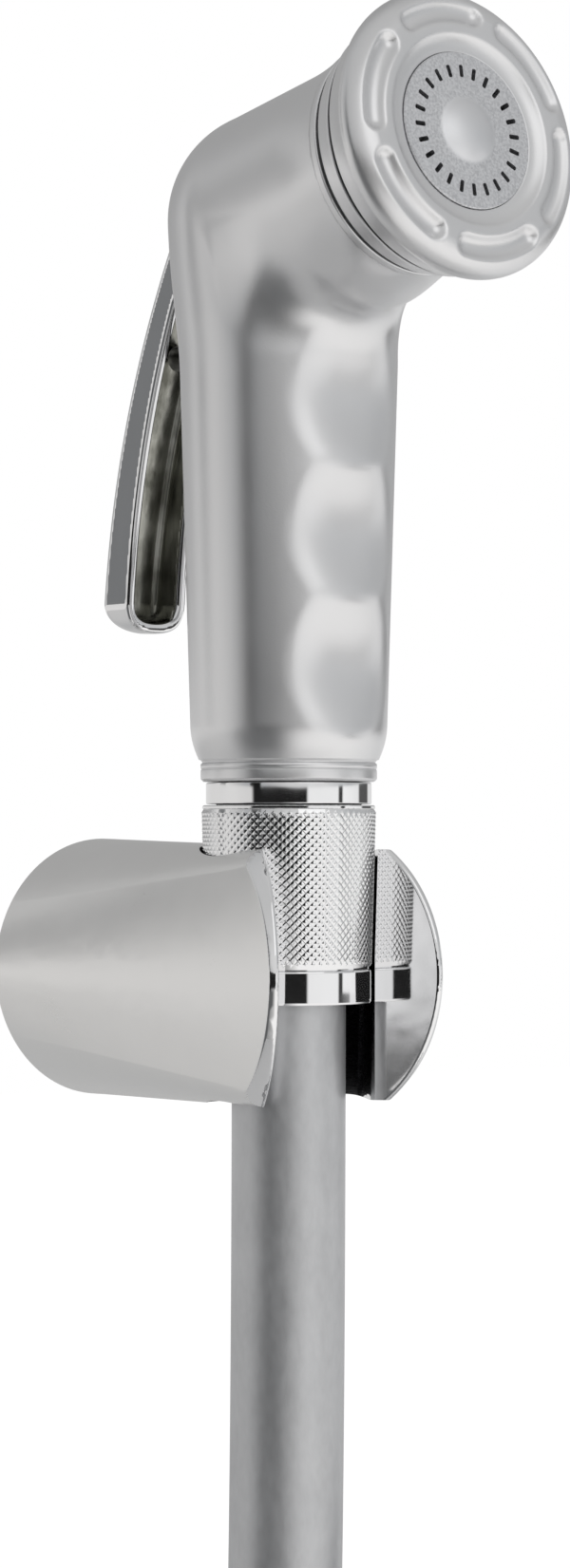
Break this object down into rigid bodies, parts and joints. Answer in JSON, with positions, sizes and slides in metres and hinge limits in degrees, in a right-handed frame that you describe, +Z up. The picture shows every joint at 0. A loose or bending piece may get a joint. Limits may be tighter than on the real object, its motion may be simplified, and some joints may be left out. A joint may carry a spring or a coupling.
{
  "type": "handheld bath sprayer",
  "caption": "Satin-chrome trigger hand sprayer that stands by its hose nut in a forked wall bracket, on a silver hose put away as a tied coil.",
  "frame": {"origin": "centre of the bracket's wall face", "axes": "+Y into the wall, so the sprayer stands on the -Y side and sprays towards -Y; +Z up"},
  "size_m": [0.1862, 0.0943, 0.3833],
  "materials": {
    "satin_chrome": "satin chrome plating on cast metal",
    "bright_chrome": "polished chrome plating",
    "brass": "turned, bare",
    "steel": "plain stainless steel",
    "zinc": "zinc plated",
    "rubber": "black seal rubber",
    "hose_sleeve": "silver grey sleeve, satin, finely mottled",
    "white_plastic": "moulded flow disc",
    "strap": "black strap"
  },
  "bodies": {
    "holder": {"bracket": "satin_chrome", "wall_plate": "zinc", "bracket_grub_screw": "steel"},
    "handset": {"handset_body": "satin_chrome", "head_trim_ring": "satin_chrome", "flow_disc": "white_plastic", "inlet_connector": "bright_chrome", "connector_o_ring": "rubber", "valve_seat": "brass", "valve_gland": "bright_chrome", "gland_o_ring": "rubber", "valve_spring": "steel", "lever_pin": "steel", "hose_washer": "rubber", "hose_nipple": "brass", "hose_ferrule": "steel", "hose": "hose_sleeve", "hose_coil": "hose_sleeve", "coil_tie": "strap", "end_ferrule": "steel", "end_nipple": "brass", "end_washer": "rubber"},
    "lever_arm": {"lever": "bright_chrome"},
    "plunger": {"valve_stem": "steel", "valve_disc": "rubber"},
    "cap": {"face_cap": "satin_chrome", "spray_plate": "satin_chrome", "cap_gasket": "rubber"},
    "nut": {"hose_nut": "bright_chrome"},
    "supply_nut": {"end_nut": "bright_chrome"}
  },
  "joints": [
    {"name": "lift", "type": "slide", "parent": "holder", "child": "handset", "axis": [0, 0, 1], "range_m": [0, 0.03]},
    {"name": "squeeze", "type": "hinge", "parent": "handset", "child": "lever_arm", "pos_m": [0, -0.03, 0.0954], "axis": [-1, 0, 0], "range_deg": [0, 10], "stiffness_Nm_per_rad": 0.5, "springref_deg": -11.46},
    {"name": "valve", "type": "slide", "parent": "handset", "child": "plunger", "axis": [0, -1, 0], "range_m": [0, 0.00283], "deforming": ["valve_spring"]},
    {"name": "cap_turn", "type": "hinge", "parent": "handset", "child": "cap", "pos_m": [0, -0.07552, 0.10538], "axis": [0, -0.9866, 0.1633], "continuous": true},
    {"name": "nut_turn", "type": "hinge", "parent": "handset", "child": "nut", "pos_m": [0, -0.0425, 0.01], "axis": [0, 0, 1], "continuous": true},
    {"name": "supply_nut_turn", "type": "hinge", "parent": "handset", "child": "supply_nut", "pos_m": [-0.0013, -0.0823, -0.19955], "axis": [0, 0, 1], "continuous": true}
  ],
  "couplings": [
    {"joint": "valve", "follows": "squeeze", "m_per_rad": 0.01621}
  ]
}
